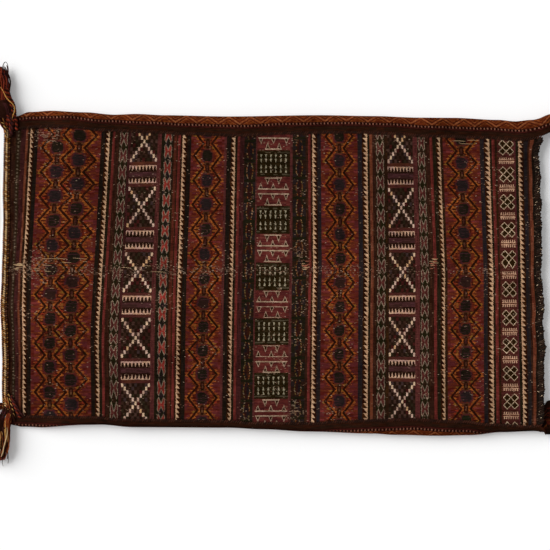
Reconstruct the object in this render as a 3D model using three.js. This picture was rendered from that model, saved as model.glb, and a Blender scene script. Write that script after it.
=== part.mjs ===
import * as THREE from "three";

// Driving dimensions, in millimetres. The empty bag lies on its back: +X runs from the sewn foot to the
// open mouth, +Y to the bag's left side and +Z up, and the origin is on the floor under its middle.
const BAG_LENGTH = 1006; // foot edge to mouth edge
const BAG_WIDTH = 586; // side fold to side fold
const BAG_HEIGHT = 24; // floor to the face of the front cloth
const FIT = 0.3; // clearance between pieces that touch

// Cloth of the two panels and of the side bands
const PANEL_CLOTH = 3.5; // thickness of the flatweave
const BAND_CLOTH = 4; // thickness of the warp-faced bands
const BAND_WIDTH = 64; // woven width of a band
const LEFT_BAND_SHOWN = 31; // width of the left band that lies on the front
const RIGHT_BAND_SHOWN = 20; // width of the right band that lies on the front
const SEAM_YARN = 2.4; // width of the sewing between a panel and a band
const FOOT_SLOPE = 130; // run over which the front comes down to the foot seam
const END_RISE = 45; // run over which the back rises into its edge bindings

// Overcast bindings round the cloth edges
const FOOT_BINDING_WALL = 1.8; // yarn over each face of the cloth
const FOOT_BINDING_GRIP = 9; // cloth that the yarn covers
const FOOT_BINDING_NOSE = 3; // yarn past the edge of the cloth
const MOUTH_BINDING_WALL = 2;
const MOUTH_BINDING_GRIP = 8;
const MOUTH_BINDING_NOSE = 3.5;

// Straps: the side bands run on past the mouth
const BAND_FOOT_INSET = 18; // end of a band from the foot edge
const STRAP_LENGTH = 62; // band past the mouth
const STRAP_FOLD = 10; // thickness of the left strap, which stays folded
const STRAP_OPENING = 46; // run over which the right strap opens out flat
const LEFT_STRAP_DRIFT = 12; // outwards, over the length of the strap
const RIGHT_STRAP_DRIFT = -22; // inwards

// Tassels, lying flattened on the floor
const TASSEL_NECK = 20; // width of the gathered yarn where it enters the head
const TASSEL_HEAD_LENGTH = 28;
const TASSEL_HEAD_WIDTH = 40;
const TASSEL_WAIST = 25; // width under the tie
const TASSEL_SKIRT_LENGTH = 68;
const TASSEL_SKIRT_WIDTH = 46;
const TASSEL_SKIRT_END = 34; // width of the skirt at its tips
const TASSEL_TIE = 4.4; // thickness of the tie yarn
const TASSEL_FLATNESS = 0.7; // height of a lying tassel over its width
const STRAP_NECK_LENGTH = 30; // gathered warp ends of a strap
const FOOT_CORD_WIDTH = 12; // plaited cord that holds a foot tassel
const FOOT_CORD_HEIGHT = 9;
const LEFT_CORD_LENGTH = 28; // runs on from the end of the foot binding
const LEFT_CORD_SHIFT = 6; // towards the foot
const RIGHT_CORD_ROOM = 4.5; // quarter turn from the foot edge, over the height of the foot binding
const RIGHT_CORD_INSET = 22; // start of the cord from the end of the foot binding
const LEFT_TASSEL_LEAN = THREE.MathUtils.degToRad(6); // away from the bag's side
const RIGHT_TASSEL_LEAN = THREE.MathUtils.degToRad(10);

const { clamp, lerp, smoothstep } = THREE.MathUtils;
const LEFT = 1;
const RIGHT = -1;
const UP = new THREE.Vector3(0, 0, 1);

// Places along the bag
const FOOT = -BAG_LENGTH / 2;
const MOUTH = BAG_LENGTH / 2;
const FOOT_CLOTH = FOOT + FOOT_BINDING_NOSE + FIT;
const MOUTH_CLOTH = MOUTH - MOUTH_BINDING_NOSE - FIT;
const FOOT_GRIP_END = FOOT_CLOTH + FOOT_BINDING_GRIP;
const MOUTH_GRIP_END = MOUTH_CLOTH - MOUTH_BINDING_GRIP;
const BAND_FOOT = FOOT + BAND_FOOT_INSET;
const STRAP_END = MOUTH + STRAP_LENGTH;

// Heights: at each end the back cloth stands on the binding's yarn, and at the foot the front lies on it
const FOOT_LIFT = FOOT_BINDING_WALL + FIT;
const MOUTH_LIFT = MOUTH_BINDING_WALL + FIT;
const FOOT_FACE = FOOT_LIFT + 2 * PANEL_CLOTH + FIT;
const TASSEL_AXIS = (TASSEL_SKIRT_WIDTH / 2) * TASSEL_FLATNESS;

const yarn = (color) => new THREE.MeshStandardMaterial({ color, roughness: 0.95, metalness: 0 });
const MAROON_FLATWEAVE = yarn(0x4e2420);
const PLAIN_FLATWEAVE = yarn(0x4a2f22);
const BAND_WEAVE = yarn(0x6d3a1e);
const DARK_YARN = yarn(0x2a1b14);
const GOLD_YARN = yarn(0xa87b36);
const TASSEL_YARN = yarn(0x80401f);

const bag = new THREE.Group();

function addPiece(name, geometry, material, parent = bag) {
  const piece = new THREE.Mesh(geometry, material);
  piece.name = name;
  parent.add(piece);
  return piece;
}

function marks(start, end, steps) {
  return Array.from({ length: steps + 1 }, (_, i) => lerp(start, end, i / steps));
}

// Lays a piece of cloth by a rule: each crossing of its marks gets a place in the middle of the cloth,
// the direction that its face looks in, and a thickness.
function layCloth(along, across, rule) {
  const cloth = new THREE.BoxGeometry(1, 1, 1, along.length - 1, across.length - 1, 1);
  const points = cloth.getAttribute("position");
  for (let i = 0; i < points.count; i++) {
    const column = Math.round((points.getX(i) + 0.5) * (along.length - 1));
    const row = Math.round((points.getY(i) + 0.5) * (across.length - 1));
    const { middle, face, thickness } = rule(along[column], across[row]);
    const point = middle.clone().addScaledVector(face, points.getZ(i) * thickness);
    points.setXYZ(i, point.x, point.y, point.z);
  }
  cloth.computeVertexNormals();
  return cloth;
}

// Height of the face of the front cloth, which slopes down to the foot seam
function frontFace(x) {
  return lerp(FOOT_FACE, BAG_HEIGHT, smoothstep(x, FOOT_GRIP_END, FOOT_CLOTH + FOOT_SLOPE));
}

// Height of the underside of the back cloth, which rises a little into its two bindings
function backUnderside(x) {
  const footRise = 1 - smoothstep(x, FOOT_GRIP_END, FOOT_CLOTH + END_RISE);
  const mouthRise = smoothstep(x, MOUTH_CLOTH - END_RISE, MOUTH_GRIP_END);
  return FOOT_LIFT * footRise + MOUTH_LIFT * mouthRise;
}

const slopeMarks = marks(FOOT_GRIP_END, FOOT_CLOTH + FOOT_SLOPE, 10);
const footRiseMarks = marks(FOOT_GRIP_END, FOOT_CLOTH + END_RISE, 5);
const mouthRiseMarks = marks(MOUTH_CLOTH - END_RISE, MOUTH_GRIP_END, 5);

// Distances from the bag's middle line to the seams and the band's edges on one side. The band's width
// is shared out over the front, the fold and the back, so the back seam follows from the front one.
function sideLines(shown) {
  const halfSeam = SEAM_YARN / 2;
  const frontSeam = BAG_WIDTH / 2 - shown;
  const bandFront = frontSeam + halfSeam + FIT;
  const foldStart = BAG_WIDTH / 2 - BAG_HEIGHT / 2;
  const foldLength = (Math.PI * (BAG_HEIGHT - BAND_CLOTH)) / 2;
  const backRun = BAND_WIDTH - foldLength - (foldStart - bandFront);
  const bandBack = foldStart - backRun;
  const backSeam = bandBack - halfSeam - FIT;
  return {
    frontSeam,
    backSeam,
    bandFront,
    bandBack,
    panelFront: frontSeam - halfSeam - FIT,
    panelBack: backSeam - halfSeam - FIT,
  };
}

const lines = new Map([
  [LEFT, sideLines(LEFT_BAND_SHOWN)],
  [RIGHT, sideLines(RIGHT_BAND_SHOWN)],
]);

// Front and back panels: two flatweaves, the front one raised by the folds of the side bands
function panel(along, underside, leftEdge, rightEdge) {
  return layCloth(along, [-rightEdge, leftEdge], (x, y) => ({
    middle: new THREE.Vector3(x, y, underside(x) + PANEL_CLOTH / 2),
    face: UP,
    thickness: PANEL_CLOTH,
  }));
}

function frontUnderside(x) {
  return frontFace(x) - PANEL_CLOTH;
}

addPiece(
  "front_panel",
  panel(
    [FOOT_CLOTH, ...slopeMarks, MOUTH_CLOTH],
    frontUnderside,
    lines.get(LEFT).panelFront,
    lines.get(RIGHT).panelFront,
  ),
  MAROON_FLATWEAVE,
);
addPiece(
  "back_panel",
  panel(
    [FOOT_CLOTH, ...footRiseMarks, ...mouthRiseMarks, MOUTH_CLOTH],
    backUnderside,
    lines.get(LEFT).panelBack,
    lines.get(RIGHT).panelBack,
  ),
  PLAIN_FLATWEAVE,
);

// Section of a side band at x: it starts at its back edge, runs outwards over the floor, turns over the
// fold and runs in again over the front. Past the mouth the left one closes into a folded strap, and the
// right one turns back until it lies flat with its reverse up.
function bandSection(side, x) {
  const { bandFront, bandBack } = lines.get(side);
  const past = clamp((x - MOUTH) / STRAP_LENGTH, 0, 1);
  let height = frontFace(x);
  let turn = Math.PI;
  let drift = LEFT_STRAP_DRIFT * past;
  if (side === LEFT) {
    height = lerp(height, STRAP_FOLD, smoothstep(past, 0, 1));
  } else {
    turn *= 1 - 0.999 * smoothstep(x, MOUTH, MOUTH + STRAP_OPENING);
    drift = RIGHT_STRAP_DRIFT * smoothstep(past, 0, 1);
  }
  const fold = (Math.PI * (height - BAND_CLOTH)) / 2;
  const backRun = (BAND_WIDTH - fold + bandFront - bandBack) / 2;
  return { backEdge: bandBack + drift, backRun, fold, turn };
}

// Point of the section at a mark: 0 is the back edge, 1 to 2 is the fold and 3 is the front edge
function bandPoint(side, x, mark) {
  const { backEdge, backRun, fold, turn } = bandSection(side, x);
  const onBack = clamp(mark, 0, 1) * backRun;
  const angle = clamp(mark - 1, 0, 1) * turn;
  const onFront = clamp(mark - 2, 0, 1) * (BAND_WIDTH - backRun - fold);
  const radius = fold / turn;
  const out = backEdge + onBack + radius * Math.sin(angle) + onFront * Math.cos(turn);
  const up = BAND_CLOTH / 2 + radius * (1 - Math.cos(angle)) + onFront * Math.sin(turn);
  return {
    middle: new THREE.Vector3(x, side * out, up),
    face: new THREE.Vector3(0, side * Math.sin(angle), -Math.cos(angle)),
    thickness: BAND_CLOTH,
  };
}

function sideBand(side) {
  const along = [BAND_FOOT, ...slopeMarks.filter((x) => x > BAND_FOOT), ...marks(MOUTH, STRAP_END, 12)];
  const fromBack = [0, ...marks(1, 2, 8), 3];
  const across = side === LEFT ? fromBack.reverse() : fromBack;
  return layCloth(along, across, (x, mark) => bandPoint(side, x, mark));
}

addPiece("left_side_band", sideBand(LEFT), BAND_WEAVE);
addPiece("right_side_band", sideBand(RIGHT), BAND_WEAVE);

// Sewing yarn that lies between a panel's selvedge and the edge of the band. On the back it lies on the
// floor, as the band does.
function seam(along, underside, y) {
  return layCloth(along, [y - SEAM_YARN / 2, y + SEAM_YARN / 2], (x, across) => ({
    middle: new THREE.Vector3(x, across, underside(x) + PANEL_CLOTH / 2),
    face: UP,
    thickness: PANEL_CLOTH,
  }));
}

for (const [sideName, side] of [["left", LEFT], ["right", RIGHT]]) {
  const { frontSeam, backSeam } = lines.get(side);
  const frontMarks = [BAND_FOOT, ...slopeMarks.filter((x) => x > BAND_FOOT), MOUTH];
  addPiece(`${sideName}_front_seam`, seam(frontMarks, frontUnderside, side * frontSeam), DARK_YARN);
  addPiece(`${sideName}_back_seam`, seam([BAND_FOOT, MOUTH], () => 0, side * backSeam), DARK_YARN);
}

// Overcast binding: a round-nosed roll of yarn with the cloth held in its slot. It is drawn with the nose
// towards +X and the middle of the cloth at zero height.
function binding(cloth, wall, grip, nose, length) {
  const slot = cloth / 2 + FIT;
  const outside = slot + wall;
  const section = new THREE.Shape();
  section.moveTo(-grip, slot);
  section.lineTo(FIT, slot);
  section.lineTo(FIT, -slot);
  section.lineTo(-grip, -slot);
  section.lineTo(-grip, -outside);
  section.lineTo(0, -outside);
  section.absellipse(0, 0, nose + FIT, outside, -Math.PI / 2, Math.PI / 2);
  section.lineTo(-grip, outside);
  section.closePath();
  const roll = new THREE.ExtrudeGeometry(section, { depth: length, bevelEnabled: false, curveSegments: 8 });
  return roll.rotateX(Math.PI / 2).translate(0, length, 0);
}

const frontLeft = lines.get(LEFT).panelFront;
const frontRight = lines.get(RIGHT).panelFront;
const backLeft = lines.get(LEFT).panelBack;
const backRight = lines.get(RIGHT).panelBack;

// Foot: front and back are sewn shut by one chained overcasting, as long as the wider of the two
const footLeft = Math.max(frontLeft, backLeft);
const footRight = Math.max(frontRight, backRight);
const footBinding = addPiece(
  "foot_binding",
  binding(
    2 * PANEL_CLOTH + FIT,
    FOOT_BINDING_WALL,
    FOOT_BINDING_GRIP,
    FOOT_BINDING_NOSE,
    footLeft + footRight,
  ),
  GOLD_YARN,
);
footBinding.rotation.z = Math.PI;
footBinding.position.set(FOOT_CLOTH, footLeft, (FOOT_LIFT + FOOT_FACE) / 2);

// Mouth: each lip has a goat-hair overcasting of its own
function mouthBinding(left, right) {
  return binding(PANEL_CLOTH, MOUTH_BINDING_WALL, MOUTH_BINDING_GRIP, MOUTH_BINDING_NOSE, left + right);
}

const frontLip = addPiece("mouth_binding_front", mouthBinding(frontLeft, frontRight), DARK_YARN);
frontLip.position.set(MOUTH_CLOTH, -frontRight, BAG_HEIGHT - PANEL_CLOTH / 2);
const backLip = addPiece("mouth_binding_back", mouthBinding(backLeft, backRight), DARK_YARN);
backLip.position.set(MOUTH_CLOTH, -backRight, MOUTH_LIFT + PANEL_CLOTH / 2);

// Neck of a tassel: a flat strip of yarn, gathered along its route into a round bundle
function tasselNeck(route, startWidth, startThickness) {
  const roundHeight = TASSEL_NECK * TASSEL_FLATNESS;
  const thinnest = 0.4; // share of the height that is left at the sides of the bundle
  return layCloth(marks(0, 1, 8), marks(-1, 1, 6), (along, across) => {
    const tangent = route.getTangent(along);
    const sideways = new THREE.Vector3().crossVectors(UP, tangent).normalize();
    const width = lerp(startWidth, TASSEL_NECK, along);
    const round = roundHeight * Math.max(Math.sqrt(1 - across * across), thinnest);
    return {
      middle: route.getPoint(along).addScaledVector(sideways, (across * width) / 2),
      face: new THREE.Vector3().crossVectors(tangent, sideways),
      thickness: lerp(startThickness, round, along),
    };
  });
}

// Wrapped head: a bulb from the neck to the tied waist
function tasselHead() {
  const neck = TASSEL_NECK / 2;
  const waist = TASSEL_WAIST / 2;
  const belly = TASSEL_HEAD_LENGTH - TASSEL_TIE / 2;
  const profile = [new THREE.Vector2(0, 0)];
  for (const t of marks(0, 1, 8)) {
    const bulge = (TASSEL_HEAD_WIDTH / 2 - waist) * Math.sin(Math.PI * Math.sqrt(t));
    profile.push(new THREE.Vector2(lerp(neck, waist, t) + bulge, t * belly));
  }
  profile.push(new THREE.Vector2(waist, TASSEL_HEAD_LENGTH));
  profile.push(new THREE.Vector2(0, TASSEL_HEAD_LENGTH));
  return new THREE.LatheGeometry(profile, 16);
}

// Skirt: the free warp ends, widest past the middle and drawn in at the tips
function tasselSkirt() {
  const waist = TASSEL_WAIST / 2;
  const tie = TASSEL_TIE / 2;
  const widest = 0.6; // share of the length at which the skirt is widest
  const profile = [new THREE.Vector2(0, 0), new THREE.Vector2(waist, 0)];
  for (const t of marks(0, 1, 9)) {
    const spread = lerp(waist, TASSEL_SKIRT_WIDTH / 2, smoothstep(t, 0, widest));
    const drawnIn = (TASSEL_SKIRT_WIDTH - TASSEL_SKIRT_END) / 2;
    const radius = spread - drawnIn * smoothstep(t, widest, 1);
    profile.push(new THREE.Vector2(radius, lerp(tie, TASSEL_SKIRT_LENGTH, t)));
  }
  profile.push(new THREE.Vector2(0, TASSEL_SKIRT_LENGTH));
  return new THREE.LatheGeometry(profile, 16);
}

// A direction on the floor, turned from +Y
function heading(turn) {
  return new THREE.Vector3(-Math.sin(turn), Math.cos(turn), 0);
}

// A tassel: its neck runs from a start on the bag to the head, and the head, tie and skirt are drawn along
// +Y from there and turned to the way that the tassel lies
function addTassel(name, start, leaving, end, turn) {
  const reach = start.place.distanceTo(end) / 2;
  const leave = start.place.clone().addScaledVector(heading(leaving), reach);
  const arrive = end.clone().addScaledVector(heading(turn), -reach);
  const route = new THREE.CubicBezierCurve3(start.place, leave, arrive, end);
  addPiece(`${name}_neck`, tasselNeck(route, start.width, start.thickness), TASSEL_YARN);

  const tassel = new THREE.Group();
  tassel.position.copy(end);
  tassel.rotation.z = turn;
  tassel.scale.z = TASSEL_FLATNESS;
  const waistPlace = FIT + TASSEL_HEAD_LENGTH + FIT / 2;
  const tieRadius = TASSEL_WAIST / 2 + FIT + TASSEL_TIE / 2;
  const head = addPiece(`${name}_head`, tasselHead(), DARK_YARN, tassel);
  head.position.y = FIT;
  const tie = new THREE.TorusGeometry(tieRadius, TASSEL_TIE / 2, 8, 20).rotateX(Math.PI / 2);
  addPiece(`${name}_tie`, tie, GOLD_YARN, tassel).position.y = waistPlace;
  const skirt = addPiece(`${name}_skirt`, tasselSkirt(), TASSEL_YARN, tassel);
  skirt.position.y = FIT + TASSEL_HEAD_LENGTH + FIT;
  bag.add(tassel);
}

// Foot tassels: the left one hangs on from the end of the foot binding, and the right one from the foot
// edge beside the corner
const cordStart = { width: FOOT_CORD_WIDTH, thickness: FOOT_CORD_HEIGHT };
const cordHeight = (FOOT_LIFT + FOOT_FACE) / 2;
const leftCord = new THREE.Vector3((FOOT + FOOT_GRIP_END) / 2, footLeft + FIT, cordHeight);
const leftTassel = new THREE.Vector3(leftCord.x - LEFT_CORD_SHIFT, leftCord.y + LEFT_CORD_LENGTH, TASSEL_AXIS);
addTassel("left_foot_tassel", { place: leftCord, ...cordStart }, 0, leftTassel, LEFT_TASSEL_LEAN);

const rightCord = new THREE.Vector3(FOOT - FIT, RIGHT_CORD_INSET - footRight, cordHeight);
const cordTurn = FOOT_FACE + FOOT_LIFT + RIGHT_CORD_ROOM;
const rightTassel = new THREE.Vector3(rightCord.x - cordTurn, rightCord.y - cordTurn, TASSEL_AXIS);
const rightTurn = Math.PI + RIGHT_TASSEL_LEAN;
addTassel("right_foot_tassel", { place: rightCord, ...cordStart }, Math.PI / 2, rightTassel, rightTurn);

// Strap tassels: the warp ends of each strap, gathered straight on from its end
for (const [sideName, side] of [["left", LEFT], ["right", RIGHT]]) {
  const backEdge = bandPoint(side, STRAP_END, 0).middle;
  const otherEdge = bandPoint(side, STRAP_END, side === LEFT ? 1.5 : 3).middle;
  const overhang = side === LEFT ? BAND_CLOTH / 2 : 0;
  const width = Math.abs(otherEdge.y - backEdge.y) + overhang;
  const thickness = side === LEFT ? STRAP_FOLD : BAND_CLOTH;
  const place = new THREE.Vector3(STRAP_END + FIT, backEdge.y + (side * width) / 2, thickness / 2);
  const end = new THREE.Vector3(place.x + STRAP_NECK_LENGTH, place.y, TASSEL_AXIS);
  addTassel(`${sideName}_strap_tassel`, { place, width, thickness }, -Math.PI / 2, end, -Math.PI / 2);
}

export default bag;
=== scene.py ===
import math
import random
from functools import partialmethod

import bmesh
import bpy
from mathutils import Matrix, Vector, noise


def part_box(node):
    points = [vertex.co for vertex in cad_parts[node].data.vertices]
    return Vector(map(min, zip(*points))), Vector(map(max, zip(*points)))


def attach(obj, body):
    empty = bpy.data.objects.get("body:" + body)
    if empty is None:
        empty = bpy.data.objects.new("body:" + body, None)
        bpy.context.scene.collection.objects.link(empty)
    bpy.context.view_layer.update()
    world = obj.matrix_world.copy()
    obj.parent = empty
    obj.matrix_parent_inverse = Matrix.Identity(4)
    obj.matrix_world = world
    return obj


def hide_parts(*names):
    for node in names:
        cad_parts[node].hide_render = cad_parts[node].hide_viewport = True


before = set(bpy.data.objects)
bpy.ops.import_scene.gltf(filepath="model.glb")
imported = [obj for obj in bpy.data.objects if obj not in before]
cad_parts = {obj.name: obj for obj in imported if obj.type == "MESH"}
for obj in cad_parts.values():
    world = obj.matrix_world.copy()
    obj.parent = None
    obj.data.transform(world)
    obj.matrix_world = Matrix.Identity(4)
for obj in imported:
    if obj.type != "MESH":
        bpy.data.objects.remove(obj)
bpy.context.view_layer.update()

# Front panel: the patterned face of the bag, a wool flatweave with wrapped wefts, about a metre long.
# Its warps run from foot to mouth and its ornament lies across them in bands. The loom and the wear have
# left every line a little askew, the cloth sags between the side folds, and a fold has worn a crease.
MM = 0.001
panel_low, panel_high = (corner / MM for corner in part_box("front_panel"))
foot_low, foot_high = (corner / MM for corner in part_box("foot_binding"))
PANEL_CLOTH = 3.5
BAG_HEIGHT = panel_high.z
FOOT_FACE = panel_low.z + PANEL_CLOTH
FOOT_SLOPE = 130
FOOT_EDGE = -503
MOUTH = 503
SIDE_FOLD = 293
LEFT_SEAM = 262
RIGHT_SEAM = -273
CREASE = 4
CREASE_RISE = 1.6
SAG = 5.5
LIP_WAVE = 2.4

# Drift of the two side folds and of the two front seams from straight lines, by place along the bag
LEFT_FOLD_DRIFT = [
    (-497, -14), (-480, -2.6), (-455, 6), (-410, 10), (-350, 8), (-295, 3.5), (-255, 5), (-200, 2.5),
    (-80, 0.3), (90, 2.6), (190, 1), (280, -2), (340, -2.3), (425, -6.2), (458, -9), (485, -6.3), (515, 1)]
LEFT_SEAM_DRIFT = [
    (-500, 8), (-440, 11.5), (-390, 11.8), (-310, 4.3), (-230, 1), (-160, -2.6), (-60, -5.4), (35, -1.2),
    (135, 0.4), (220, -2), (295, -6.9), (400, -10), (465, -14), (530, -2)]
RIGHT_SEAM_DRIFT = [
    (-450, 4.3), (-325, 3.7), (-290, -0.8), (-172, -2.5), (-80, -3.8), (-41, -7.2), (71, -7.8), (127, -4.1),
    (200, -1.5), (257, 0.5), (325, -3.4), (355, -3.9), (400, -9.6), (480, -13.5), (520, -6)]
RIGHT_FOLD_DRIFT = [
    (-498, 18), (-485, 11.5), (-468, 8.4), (-425, 5.6), (-345, 9), (-320, 9.4), (-260, 4.6), (-82, 3.6),
    (-20, 0.7), (67, -3.7), (186, -7.8), (225, -10.2), (306, -12), (365, -10.8), (425, -4.8), (485, -2.6),
    (515, -6)]

# How far the foot and the mouth stand out, by place across the bag
FOOT_DRIFT = [
    (-290, 0), (-216, -2.2), (-172, -1.6), (-127, -3), (-70, -5.6), (-10, -3.2), (50, -1.7), (97, -0.7),
    (142, -1.9), (190, -1), (260, 0)]
MOUTH_DRIFT = [
    (-275, 0), (-216, 1.7), (-183, 0.8), (-127, 5), (-104, 3.6), (-82, 1.5), (-58, 4.7), (-15, 1),
    (10, -1.3), (60, 1), (97, 1.5), (120, -0.2), (142, 1.7), (164, -0.7), (186, 1.1), (231, -2), (246, 1),
    (256, 6.5), (275, 5)]


def ease(x, start, end):
    t = min(max((x - start) / (end - start), 0), 1)
    return t * t * (3 - 2 * t)


def between(x, stops):
    """Eases from each stop, a place and a value, to the next."""
    for (start, low), (end, high) in zip(stops, stops[1:]):
        if x < end:
            return low + (high - low) * ease(x, start, end)
    return stops[-1][1]


def front_face(x):
    return FOOT_FACE + (BAG_HEIGHT - FOOT_FACE) * ease(x, foot_high.x, panel_low.x + FOOT_SLOPE)


def swell(x, y):
    """How far the front stands above or below a flat face."""
    slack = max(0, 1 - (y / 268) ** 2) * ease(x, -480, -330) * (1 - 0.4 * ease(x, 380, 500))
    waves = 1.4 * noise.noise((x / 140, y / 110, 0)) + 0.6 * noise.noise((x / 45, y / 45, 3))
    crease = CREASE_RISE * math.exp(-((y - CREASE) / 8) ** 2) * ease(x, -480, -400)
    lip = LIP_WAVE * ease(x, 400, MOUTH) * math.sin(y / 41)
    return crease + waves + lip - SAG * slack


def lie(x, y, z):
    """A point of the straight, flat bag, in millimetres, as it lies: a Vector in metres."""
    sideways = between(y, [
        (-SIDE_FOLD, between(x, RIGHT_FOLD_DRIFT)),
        (RIGHT_SEAM, between(x, RIGHT_SEAM_DRIFT)),
        (LEFT_SEAM, between(x, LEFT_SEAM_DRIFT)),
        (SIDE_FOLD, between(x, LEFT_FOLD_DRIFT)),
    ])
    foot_lean = y / 290
    mouth_lean = 1.5 - 4 * y / 290
    along = foot_lean + (mouth_lean - foot_lean) * (x - FOOT_EDGE) / (MOUTH - FOOT_EDGE)
    along += between(y, FOOT_DRIFT) * (1 - ease(x, -492, -440)) + between(y, MOUTH_DRIFT) * ease(x, 470, 500)
    return Vector((x + along, y + sideways, z + swell(x, y) * z / BAG_HEIGHT)) * MM


class Reckon:
    """A shader socket that is reckoned with like a number."""

    def __init__(self, tree, socket=None):
        self.tree = tree
        self.socket = socket

    def node(self, kind, settings=None, inputs=None, output=0):
        made = self.tree.nodes.new(kind)
        for name, value in (settings or {}).items():
            if name == "stops":
                ramp = made.color_ramp
                ramp.interpolation = "CONSTANT"
                while len(ramp.elements) < len(value):
                    ramp.elements.new(1)
                for stop, (place, colour) in zip(ramp.elements, value):
                    stop.position = place
                    stop.color = colour
            else:
                setattr(made, name, value)
        for name, value in (inputs or {}).items():
            if isinstance(value, Reckon):
                value.feed(made, name)
            else:
                made.inputs[name].default_value = value
        return Reckon(self.tree, made.outputs[output])

    def feed(self, node, name):
        self.tree.links.new(self.socket, node.inputs[name])

    def out(self, name):
        return Reckon(self.tree, self.socket.node.outputs[name])

    def math(self, operation, other=0.0):
        return self.node("ShaderNodeMath", {"operation": operation}, {0: self, 1: other})

    def __rsub__(self, other):
        return self.node("ShaderNodeMath", {"operation": "SUBTRACT"}, {0: other, 1: self})

    __add__ = __radd__ = partialmethod(math, "ADD")
    __sub__ = partialmethod(math, "SUBTRACT")
    __mul__ = __rmul__ = partialmethod(math, "MULTIPLY")
    __truediv__ = partialmethod(math, "DIVIDE")
    __mod__ = partialmethod(math, "FLOORED_MODULO")
    __lt__ = partialmethod(math, "LESS_THAN")
    __gt__ = partialmethod(math, "GREATER_THAN")
    __abs__ = partialmethod(math, "ABSOLUTE")
    floor = partialmethod(math, "FLOOR")
    wave = partialmethod(math, "SINE")
    least = partialmethod(math, "MINIMUM")
    most = partialmethod(math, "MAXIMUM")
    to_and_fro = partialmethod(math, "PINGPONG")


def dye(code):
    """A colour written as six hex digits, as a shader's linear colour."""
    parts = [int(code[i:i + 2], 16) / 255 for i in (0, 2, 4)]
    return tuple(c / 12.92 if c < 0.04 else ((c + 0.055) / 1.055) ** 2.4 for c in parts) + (1,)


def cover(colour, *layers):
    """A ground colour with layers over it in turn, each where its mask is 1."""
    for mask, over in layers:
        inputs = {0: mask, 6: colour, 7: dye(over) if isinstance(over, str) else over}
        colour = mask.node("ShaderNodeMix", {"data_type": "RGBA"}, inputs, 2)
    return colour


def chance(u, width, v, length, seed=0):
    """A number from 0 to 1 for each cell of that width and length."""
    cell = u.node("ShaderNodeCombineXYZ", {}, {0: (u / width).floor(), 1: (v / length).floor(), 2: seed})
    return u.node("ShaderNodeTexWhiteNoise", {"noise_dimensions": "3D"}, {0: cell})


def pick(number, first, *others):
    """One of several dyes: the first, then each number from which another is used, and that dye."""
    starts = (0, *others[::2])
    codes = (first, *others[1::2])
    stops = [(start, dye(code)) for start, code in zip(starts, codes)]
    return number.node("ShaderNodeValToRGB", {"stops": stops}, {0: number})


def patches(place, scale, detail):
    """Soft patches over a surface, as numbers about a half."""
    return place.node("ShaderNodeTexNoise", {}, {"Vector": place, "Scale": scale, "Detail": detail})


def new_material(name, roughness, shine):
    """A material with its shader, and a start for reckoning with its nodes."""
    material = bpy.data.materials.new(name)
    material.use_nodes = True
    shader = material.node_tree.nodes["Principled BSDF"]
    shader.inputs["Roughness"].default_value = roughness
    shader.inputs["Specular IOR Level"].default_value = shine
    return material, shader, Reckon(material.node_tree)


RIB = 2.25
PICK = 1.1
FADED = (0.98, 0.93, 0.86)
TUFT = 2.6
YARN = 0.95
CREASE_REACH = 14
# Rubbed places of the face, by their middle and reach
WORN_PLACES = ((-423, 258, 46), (-462, 15, 24), (40, -258, 30), (-430, 20, 50), (-200, 4, 34), (296, 10, 30),
               (56, 42, 30))


def cloth_material(name, draw, worn=1.0):
    """Woven wool: draw(u, v) gives its colours from the weave's own map, in millimetres across and along
    a band. Ribs, uneven dyeing, rubbed yarn and pale specks of bare warp are the same on every band. Every
    cloth also has a painted highlight: it is paler towards the bag's middle line."""
    material, shader, start = new_material(name, 0.95, 0.0)
    weave = start.node("ShaderNodeUVMap", {"uv_map": "weave"})
    u = start.node("ShaderNodeSeparateXYZ", {}, {0: weave})
    v = u.out("Y")
    place = start.node("ShaderNodeTexCoord", {}, {}, "Object")
    metres = start.node("ShaderNodeSeparateXYZ", {}, {0: place})
    x = metres * 1000
    y = metres.out("Y") * 1000
    drawn_out = start.node("ShaderNodeMapping", {}, {"Vector": place, "Scale": (110, 520, 110)})
    streak = patches(drawn_out, 1.0, 2.0)
    abrash = patches(place, 21.0, 2.0)
    fuzz = patches(place, 700.0, 1.0)
    jitter = chance(u, 1000, v, RIB / 2, 5) - 0.5
    uneven = (fuzz - 0.5) * 2.2
    colour = draw(u + jitter * 0.8 + uneven, ((v + uneven) * 2 / RIB).floor() * (RIB / 2) + RIB / 4)
    level = 0.81 + (streak - 0.5) * 1.2 + (abrash - 0.5) * 0.8 + (fuzz - 0.5) * 0.6
    # Painted highlight: the cloth is made paler towards the bag's middle line, where the puffed front
    # catches more light
    level = level + (1 - abs(y) / 170).most(0) * 0.12
    colour = start.node("ShaderNodeVectorMath", {"operation": "SCALE"}, {0: colour, 3: level.most(0.22)})
    colour = start.node("ShaderNodeVectorMath", {"operation": "MULTIPLY"}, {0: colour, 1: FADED})

    rubbed = (1 - abs(y - CREASE) / CREASE_REACH).most(0) * (0.6 - x * 0.0006)
    for worn_x, worn_y, reach in WORN_PLACES:
        near = (abs(x - worn_x) + abs(y - worn_y)) / reach
        rubbed = rubbed.most((1 - near).most(0) * 0.9)
    bare_share = (0.006 + (abrash - 0.52).most(0) * 0.28 + rubbed * abrash * 0.5) * worn
    bare = chance(x, TUFT, y, YARN, 9) > 1 - bare_share
    warp = pick(chance(x, TUFT, y, YARN, 2), "7a5c4a", 0.4, "9a7c66", 0.7, "6b4a38", 0.85, "b59c84")
    dull = chance(x, TUFT, y, 1.3, 4) < rubbed * 0.45 * worn
    cover(colour, (bare * 0.6, warp), (dull * 0.6, "2c1810")).feed(shader, "Base Color")

    ribs = abs((v * (math.pi / RIB)).wave())
    picks = abs((u * (math.pi / PICK)).wave())
    height = ribs * 0.6 + picks * 0.25 + streak * 0.5
    bump = start.node("ShaderNodeBump", {}, {"Strength": 0.6, "Distance": 0.0006, "Height": height})
    bump.feed(shader, "Normal")
    return material


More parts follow.
